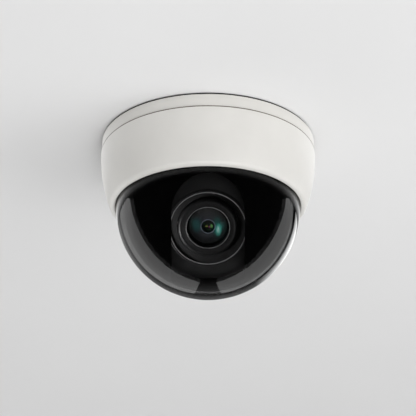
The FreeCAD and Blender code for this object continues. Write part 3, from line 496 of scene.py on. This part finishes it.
# ---------------------------------------------------------------- mesh helpers
SHARP_ANGLE = math.radians(32.0)
ON_AXIS = 1e-7  # a radius under this is a single point on the turning axis


def linked_object(name, data):
    thing = bpy.data.objects.new(name, data)
    bpy.context.scene.collection.objects.link(thing)
    return thing


def lathe(name, outline, place, steps=160, close=True):
    """A solid or a skin turned about place's Z from points (radius, height), in metres."""
    mesh = bmesh.new()
    rings = []
    for radius, height in outline:
        if radius < ON_AXIS:
            rings.append([mesh.verts.new((0, 0, height))])
            continue
        ring = []
        for i in range(steps):
            turn = 2 * math.pi * i / steps
            ring.append(mesh.verts.new((radius * math.cos(turn), radius * math.sin(turn), height)))
        rings.append(ring)
    pairs = list(zip(rings, rings[1:]))
    if close:
        pairs.append((rings[-1], rings[0]))
    for low, high in pairs:
        if len(low) == 1 and len(high) == 1:
            continue
        for i in range(steps):
            n = (i + 1) % steps
            corners = [low[i % len(low)], low[n % len(low)], high[n % len(high)], high[i % len(high)]]
            mesh.faces.new(list(dict.fromkeys(corners)))
    bmesh.ops.recalc_face_normals(mesh, faces=mesh.faces)
    mesh.transform(place)
    data = bpy.data.meshes.new(name)
    mesh.to_mesh(data)
    mesh.free()
    data.shade_smooth()
    data.set_sharp_from_angle(angle=SHARP_ANGLE)
    return linked_object(name, data)


def add_mesh(name, vertices, faces):
    mesh = bpy.data.meshes.new(name)
    mesh.from_pydata([tuple(v) for v in vertices], [], faces)
    mesh.update()
    return linked_object(name, mesh)


def piece(thing, body, slot_name, replaced=(), finish=None):
    """Gives a made piece its finish, the slot's own unless another is named, and the body it rides on."""
    thing.data.materials.append(FINISHES[finish or slot_name])
    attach(thing, body)
    if replaced:
        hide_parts(*replaced)


def arc_points(centre_height, radius, low, high, steps):
    """Points (radius, height) on an arc about the turning axis; angles are from the axis, in degrees."""
    points = []
    for i in range(steps + 1):
        angle = math.radians(low + (high - low) * i / steps)
        points.append((abs(radius) * math.sin(angle), centre_height + radius * math.cos(angle)))
    return points


def cap_points(edge_r, edge_height, rise, steps):
    """A shallow spherical face from its rim to its middle."""
    radius = (edge_r ** 2 + rise ** 2) / (2 * rise)
    half = math.degrees(math.asin(edge_r / radius))
    return arc_points(edge_height + rise - radius, radius, half, 0, steps)


def round_section(radius, height, thick, steps=16):
    """The points of a round wire's section; thick is its half thickness."""
    turns = (2 * math.pi * i / steps for i in range(steps))
    return [(radius + thick * math.cos(t), height + thick * math.sin(t)) for t in turns]


def above_edge(*points):
    """Points (radius, height) whose heights are given from the front glass's edge."""
    return [(radius, GLASS_EDGE + height) for radius, height in points]


# ---------------------------------------------------------------- dome and lens pieces
def make_dome():
    """The dome turned finely: a half sphere, its straight neck and the flange that the cover holds."""
    inner_r = DOME_R - DOME_WALL
    arc_steps = 72
    neck = [(DOME_R, CENTRE.z), (DOME_R, FLANGE_LOW), (FLANGE_R, FLANGE_LOW), (FLANGE_R, FLANGE_TOP)]
    outline = arc_points(CENTRE.z, -DOME_R, 0, 90, arc_steps)[:-1] + neck
    outline += [(inner_r, FLANGE_TOP)] + arc_points(CENTRE.z, -inner_r, 90, 0, arc_steps)
    dome = lathe("smoked_dome_skin", outline, Matrix(), steps=224, close=False)
    piece(dome, "cover", "smoked_dome", ["dome_bubble"])


def make_seam_seal():
    """The thin rubber seal that shows as a dark line between the base and the cover."""
    under_cover, width, bulge = 0.00003, 0.0019, 0.0001
    low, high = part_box("cover_seal")
    inner, outer = high.x - width, COVER_R - under_cover
    outline = [(inner, low.z), (outer - bulge, low.z), (outer, low.z + bulge), (outer, high.z - bulge)]
    outline += [(outer - bulge, high.z), (inner, high.z)]
    piece(lathe("seam_seal", outline, Matrix(), steps=256), "base", "seam_rubber", ["cover_seal"])


def make_lens_trim():
    """The bright lips that catch the light round the lens, its rounded shoulder and the front ring."""
    lip_inset, lip_thick = 0.0016, 0.00026
    lip = round_section(BEZEL_R - lip_inset, BEZEL_FRONT, lip_thick)
    piece(lathe("bezel_lip", lip, LENS_FRAME, steps=200), "tilt", "silver_trim")

    bend, proud, dish_sink, dish_rise = 0.0015, 0.0004, 0.0004, 0.0002
    bend_low, bend_step, bend_points = -30, 10, 13  # degrees from straight ahead, outwards
    shoulder = [(RING_R, FOCUS_FRONT - dish_sink), (RING_R, FOCUS_FRONT + dish_rise)]
    for step in range(bend_points):
        angle = math.radians(bend_low + bend_step * step)
        radius = FOCUS_R - bend + bend * math.sin(angle)
        shoulder.append((radius, FOCUS_FRONT + proud - bend + bend * math.cos(angle)))
    shoulder_thing = lathe("focus_shoulder", shoulder, LENS_FRAME, steps=200)
    piece(shoulder_thing, "focus", "lens_metal", finish="ring_metal")

    inner_r, ring_thick = GLASS_R + 0.0001, 0.00022
    ring = round_section(inner_r, RING_FRONT, ring_thick)
    piece(lathe("glass_ring", ring, LENS_FRAME, steps=200), "focus", "silver_trim", finish="dull_trim")

    seat_low, seat_high, seat_slope = RING_FRONT - 0.0007, RING_FRONT - 0.0001, 0.0002
    seat = [(inner_r, seat_low), (RING_R, seat_low), (RING_R, seat_high - seat_slope), (inner_r, seat_high)]
    piece(lathe("ring_seat", seat, LENS_FRAME), "focus", "lens_metal", ["front_ring"], "ring_metal")


def make_lens_glass():
    """The front element, a meniscus, and the black paint round its edge."""
    edge_r, wall, cap_steps = GLASS_R - 0.0002, 0.0009, 28
    front = cap_points(edge_r, GLASS_EDGE, GLASS_RISE, cap_steps)
    back = cap_points(edge_r - wall, GLASS_EDGE, GLASS_RISE - wall, cap_steps)[::-1]
    element = lathe("front_element", front + back, LENS_FRAME)
    piece(element, "focus", "coated_glass", ["front_glass"], "front_coating")

    paint = above_edge(
        (edge_r, -0.0004), (edge_r - 0.0002, 0.0), (CELL_R, 0.0002), (CELL_R - 0.0002, -0.0006)
    )
    piece(lathe("glass_edge_paint", paint, LENS_FRAME), "focus", "black_plastic")


def make_lens_cell():
    """What shows through the front element: a stepped black cell, and the small element in its middle."""
    cell_back, cell_sink, cell_rise = -0.0012, 0.0002, 0.0011
    steps, step_height, step_width = 9, 0.00008, 0.0003
    cell = above_edge((CELL_R, cell_back))
    for i in range(steps):
        along = i / (steps - 1)
        radius = CELL_R + (PUPIL_R - CELL_R) * along
        height = GLASS_EDGE - cell_sink + cell_rise * math.sin(along * math.pi / 2)
        cell += [(radius, height - step_height), (radius - step_width, height + step_height)]
    cell += above_edge((PUPIL_R - step_width, cell_back))
    piece(lathe("glass_cell_front", cell, LENS_FRAME), "focus", "black_plastic", finish="cell_black")

    rim_inset, rim_height, rim_thick = 0.0002, 0.0010, 0.00024
    rim = round_section(PUPIL_R - rim_inset, GLASS_EDGE + rim_height, rim_thick)
    piece(lathe("pupil_rim", rim, LENS_FRAME, steps=120), "focus", "lens_metal", finish="pupil_metal")

    well_r, well_top, well_floor, well_back = PUPIL_R - 0.0003, 0.0009, -0.0030, -0.0034
    well = above_edge(
        (well_r, well_top), (well_r, well_floor), (0, well_floor), (0, well_back), (PUPIL_R, well_back),
        (PUPIL_R, well_top)
    )
    piece(lathe("pupil_well", well, LENS_FRAME, steps=96, close=False), "focus", "black_plastic")

    bead_r, bead_edge, bead_rise, bead_back = PUPIL_R - 0.0006, -0.0012, 0.0013, -0.0026
    bead = cap_points(bead_r, GLASS_EDGE + bead_edge, bead_rise, steps=16)
    bead += above_edge((0, bead_back), (bead_r, bead_back))
    bead_thing = lathe("pupil_element", bead, LENS_FRAME, steps=96)
    piece(bead_thing, "focus", "coated_glass", finish="pupil_coating")


# ---------------------------------------------------------------- light cards
CARD_ROWS, CARD_COLUMNS = 40, 4  # cells along a card and across it
CARD_RADIUS = 2.4  # metres from the dome's centre
GAP_CARD_RADIUS = 2.5  # behind the softboxes, so that it never covers them
SOFTBOX_TURNS, SOFTBOX_STRENGTH, SOFTBOX_SPLAY = (6.3, 97.0), 1.3, 2.8
GAP_HALF_TURN, GAP_EDGES, GAP_STRENGTH = 9.5, (98.0, 131.0), 0.36
RIM_LEFT, RIM_RIGHT, RIM_EDGES, RIM_STRENGTH = -115.0, 130.0, (141.0, 178.0), 1.0


def glossy_only(thing):
    thing.visible_camera = False
    thing.visible_diffuse = False
    thing.visible_transmission = False
    thing.visible_volume_scatter = False
    thing.visible_shadow = False
    thing.visible_glossy = True


def view_direction(away, turn):
    """The direction at angle away from the line to the camera, turned from downwards towards the right."""
    away, turn = math.radians(away), math.radians(turn)
    sideways = Vector((math.sin(turn), 0, 0)) - VIEW_UP * math.cos(turn)
    return TO_CAMERA * math.cos(away) + sideways * math.sin(away)


def card(name, near, far, turns, strength, level, splay=0.0, radius=CARD_RADIUS):
    """A softbox that only gloss sees, between two turns about the line to the camera.

    near(turn) and far(turn) give its edges as angles from that line, and splay turns the far edge's start.
    level(along, across) is its brightness: along goes from the first turn to the second, and across from
    the near edge to the far one."""
    first, last = turns
    vertices, faces, levels = [], [], []
    for i in range(CARD_ROWS + 1):
        turn = first + (last - first) * i / CARD_ROWS
        low, high = near(turn), far(turn)
        for j in range(CARD_COLUMNS + 1):
            spread = splay * (1 - i / CARD_ROWS) * j / CARD_COLUMNS
            away = low + (high - low) * j / CARD_COLUMNS
            vertices.append(CENTRE + view_direction(away, turn + spread) * radius)
            levels.append(level(i / CARD_ROWS, j / CARD_COLUMNS))
    row = CARD_COLUMNS + 1
    for i in range(CARD_ROWS):
        for j in range(CARD_COLUMNS):
            k = i * row + j
            faces.append((k, k + 1, k + row + 1, k + row))
    thing = add_mesh(name, vertices, faces)
    attribute = thing.data.attributes.new("level", "FLOAT", "POINT")
    for k, value in enumerate(levels):
        attribute.data[k].value = value
    g = Graph(name)
    read_level = g.node("ShaderNodeAttribute", attribute_name="level")
    g.emission(g.maths("MULTIPLY", read_level.outputs["Fac"], strength))
    thing.data.materials.append(g.material)
    glossy_only(thing)


def crescent_edge(turn):
    """The near edge of a side softbox: nearest the camera line part of the way up the side, and bent away
    above and below that."""
    nearest, middle = 98.0, 48.0
    bend_below, span_below, bend_above, span_above = 7.0, 40.0, 16.0, 49.0
    off = abs(turn) - middle
    bend = bend_below * (off / span_below) ** 2 if off < 0 else bend_above * (off / span_above) ** 2
    return nearest + bend


def crescent_far(turn):
    """The far edge of a side softbox: further round on the left, and less far on the right."""
    at_bottom, more_left, less_right = 136.5, 0.1, 0.05
    return at_bottom + (more_left * -turn if turn < 0 else -less_right * turn)


def even_in_dome(along, across):
    """Dims a softbox towards its far edge, where the dome reflects more, so its reflection looks even."""
    near_level, drop = 1.6, 0.98
    return near_level - drop * across


def rim_level(along, across):
    """Weak below the dome, stronger to its left and strongest to its right; dimmer at both edges."""
    base_level = 0.17
    peaks = ((-80.0, 40.0, 0.3), (82.0, 50.0, 2.9))  # middle turn, half width, height
    edge_fade, fade_span = 0.15, 0.7
    turn = RIM_LEFT + (RIM_RIGHT - RIM_LEFT) * along
    level = base_level
    for middle, half, height in peaks:
        off = min(1.0, abs(turn - middle) / half)
        level += height * math.cos(math.pi / 2 * off)
    return level * math.sin(math.pi * (edge_fade + fade_span * across))


def gap_level(along, across):
    return across


def make_cards():
    """Two side softboxes for the crescents, a weak card between them, and one for the dome's rim."""
    for side in (-1, 1):
        turns = (SOFTBOX_TURNS[0] * side, SOFTBOX_TURNS[1] * side)
        splay = SOFTBOX_SPLAY * side
        card(f"softbox_{side}", crescent_edge, crescent_far, turns, SOFTBOX_STRENGTH, even_in_dome, splay)
    gap_turns = (-GAP_HALF_TURN, GAP_HALF_TURN)
    gap_near, gap_far = (lambda turn: GAP_EDGES[0]), (lambda turn: GAP_EDGES[1])
    card("gap_card", gap_near, gap_far, gap_turns, GAP_STRENGTH, gap_level, radius=GAP_CARD_RADIUS)
    rim_near, rim_far = (lambda turn: RIM_EDGES[0]), (lambda turn: RIM_EDGES[1])
    card("rim_card", rim_near, rim_far, (RIM_LEFT, RIM_RIGHT), RIM_STRENGTH, rim_level)


# ---------------------------------------------------------------- ceiling and floor
def dress_stage(thing, graph):
    thing.data.materials.append(graph.material)


def make_ceiling():
    """The ceiling: painted from below, and clear from above so that light and views from there pass it."""
    half, lift = 3.0, 0.0002
    corners = [(-half, -half, lift), (-half, half, lift), (half, half, lift), (half, -half, lift)]
    ceiling = add_mesh("ceiling", corners, [(0, 1, 2, 3)])
    ceiling.visible_shadow = False
    ceiling.visible_glossy = False
    g = Graph("ceiling")
    paint = g.node("ShaderNodeBsdfDiffuse")
    pale, less_pale = (0.775, 0.775, 0.775), (0.755, 0.755, 0.755)
    cloud = g.noise(scale=3.0, detail=2.0)
    g.link(g.mix(g.ramp(cloud, 0, 1), pale, less_pale), paint.inputs["Color"])
    clear = g.node("ShaderNodeBsdfTransparent")
    pick = g.node("ShaderNodeMixShader")
    g.link(g.node("ShaderNodeNewGeometry").outputs["Backfacing"], pick.inputs[0])
    g.link(paint.outputs[0], pick.inputs[1])
    g.link(clear.outputs[0], pick.inputs[2])
    g.link(pick.outputs[0], g.out.inputs["Surface"])
    dress_stage(ceiling, g)


def make_ceiling_glow():
    """A ring on the ceiling that only gloss sees: the lit ceiling, as the base and the cover reflect it."""
    near, fade_start, far, steps, strength = 0.066, 0.125, 0.19, 96, 1.7
    vertices, faces = [], []
    for i in range(steps):
        turn = 2 * math.pi * i / steps
        for radius in (near, far):
            vertices.append((radius * math.cos(turn), radius * math.sin(turn), 0.0))
        k, n = 2 * i, 2 * ((i + 1) % steps)
        faces.append((k, k + 1, n + 1, n))
    glow = add_mesh("ceiling_glow", vertices, faces)
    glossy_only(glow)
    g = Graph("ceiling_glow")
    g.emission(g.ramp(g.length(g.place()), strength, 0.0, from_low=fade_start, from_high=far))
    dress_stage(glow, g)


def make_floor():
    """A pale floor far below the ceiling."""
    half, drop = 6.0, -1.6
    corners = [(-half, -half, drop), (half, -half, drop), (half, half, drop), (-half, half, drop)]
    floor = add_mesh("floor", corners, [(0, 1, 2, 3)])
    floor.visible_glossy = False
    g = Graph("floor")
    g.surface(Base_Color=(0.8, 0.8, 0.8), Roughness=0.9)
    dress_stage(floor, g)


# ---------------------------------------------------------------- lamps and world
ROOM_LAMPS = (
    # name, place in metres, width in metres, watts
    ("key", (1.15, -1.0, -0.75), 1.6, 10.0),
    ("low", (0.15, -0.75, -1.35), 0.8, 8.6),
    ("top", (0.3, 0.2, 1.3), 0.9, 5.5),
    ("back", (-0.7, 1.3, -0.4), 1.1, 3.2),
)
COATING_LAMPS = (
    # name, degrees right and up of the optical axis, width and height in metres, watts
    ("coating_right", (28, -24), 0.24, 0.55, 6.0),
    ("coating_left", (-31, -16), 0.3, 0.7, 1.6),
)
CELL_LAMP = ("cell_light", (0, 30), 0.8, 26.0)  # name, degrees right and up of the optical axis, width, watts
LENS_LAMP_REACH = 1.5  # metres from the dome's centre to the coating and cell lamps
INNER_LAMP = ("inner_left", (-0.040, -0.021, 0.060), 0.012, 0.042)  # as a room lamp, in the lens's own frame
CEILING_LAMP = ("ceiling_wash", (1.5, -0.1, -1.0), 1.2, 6.6)  # as a room lamp
AMBIENT, SEEN_BACKGROUND, GLOSS_BACKGROUND = 0.46, (0.8, 0.8, 0.8), 0.012


def make_light(name, place, size, power, aim=CENTRE, tall=None):
    data = bpy.data.lights.new(name, "AREA")
    data.shape = "DISK" if tall is None else "ELLIPSE"
    data.size = size
    if tall is not None:
        data.size_y = tall
    data.energy = power
    lamp = linked_object(name, data)
    lamp.location = place
    lamp.rotation_euler = (Vector(place) - Vector(aim)).to_track_quat("Z", "Y").to_euler()
    lamp.visible_camera = False
    return lamp


def light_only(lamp, things, shadows=None):
    """The lamp lights only these things, and only the things in shadows block it."""
    lit = bpy.data.collections.new(lamp.name + "_lit")
    for thing in things:
        lit.objects.link(thing)
    lamp.light_linking.receiver_collection = lit
    if shadows is not None:
        blocks = bpy.data.collections.new(lamp.name + "_blocks")
        for thing in shadows:
            blocks.objects.link(thing)
        lamp.light_linking.blocker_collection = blocks


def named(names):
    return [o for o in bpy.context.scene.objects if o.name in names]


def lens_direction(right, up):
    """The direction at these angles from the optical axis, in degrees, as the camera sees right and up."""
    r, u = math.tan(math.radians(right)), math.tan(math.radians(up))
    return (LENS_FRAME.to_3x3() @ Vector((r, u, 1))).normalized()


def make_room_lamps():
    """The studio lamps. They skip the dome and glass, which would mirror them, and the lens faces."""
    skipped = SHEER + LENS_FACES
    solid = [o for o in bpy.context.scene.objects if o.type == "MESH" and not o.name.startswith(CARDS)]
    lamps = [make_light(*lamp) for lamp in ROOM_LAMPS]
    for lamp in lamps:
        light_only(lamp, [o for o in solid if o.name not in skipped])


def make_lens_lamps():
    """Small lamps for the lens alone, because the smoked dome hides it from the studio lamps."""
    faces, glass, cell = named(LENS_FACES), named(LENS_GLASS), named(LENS_CELL)
    name, place, wide, power = INNER_LAMP
    beside = CENTRE + LENS_FRAME.to_3x3() @ Vector(place)
    bezel_middle = CENTRE + LENS_AXIS * BEZEL_FRONT
    light_only(make_light(name, beside, wide, power, aim=bezel_middle), faces, faces)
    coating_lamps = []
    for name, (right, up), wide, tall, power in COATING_LAMPS:
        place = CENTRE + lens_direction(right, up) * LENS_LAMP_REACH
        coating_lamps.append(make_light(name, place, wide, power, tall=tall))
    for lamp in coating_lamps:
        light_only(lamp, glass, glass)
    name, (right, up), wide, power = CELL_LAMP
    above = CENTRE + lens_direction(right, up) * LENS_LAMP_REACH
    light_only(make_light(name, above, wide, power), cell, [])


def make_world():
    """A pale surround for the camera, a weaker one for fill light and a dark one for reflections."""
    world = bpy.data.worlds.new("studio")
    bpy.context.scene.world = world
    world.use_nodes = True
    tree = world.node_tree
    tree.nodes.clear()
    out = tree.nodes.new("ShaderNodeOutputWorld")
    path = tree.nodes.new("ShaderNodeLightPath")

    def ground(colour, strength):
        made = tree.nodes.new("ShaderNodeBackground")
        made.inputs["Color"].default_value = (*colour, 1)
        made.inputs["Strength"].default_value = strength
        return made.outputs[0]

    def choose(flag, no, yes):
        made = tree.nodes.new("ShaderNodeMixShader")
        tree.links.new(path.outputs[flag], made.inputs[0])
        tree.links.new(no, made.inputs[1])
        tree.links.new(yes, made.inputs[2])
        return made.outputs[0]

    seen_or_ambient = choose("Is Camera Ray", ground(WHITE, AMBIENT), ground(SEEN_BACKGROUND, 1.0))
    surround = choose("Is Glossy Ray", seen_or_ambient, ground(WHITE, GLOSS_BACKGROUND))
    tree.links.new(surround, out.inputs["Surface"])


def make_stage():
    make_cards()
    make_ceiling()
    make_ceiling_glow()
    make_floor()
    make_room_lamps()
    make_lens_lamps()
    light_only(make_light(*CEILING_LAMP), named(("ceiling",)), [])
    make_world()
    bpy.context.scene.view_settings.view_transform = "Standard"


make_camera()
FINISHES = make_finishes()
dress_nodes()
make_dome()
make_seam_seal()
make_lens_trim()
make_lens_glass()
make_lens_cell()
make_stage()
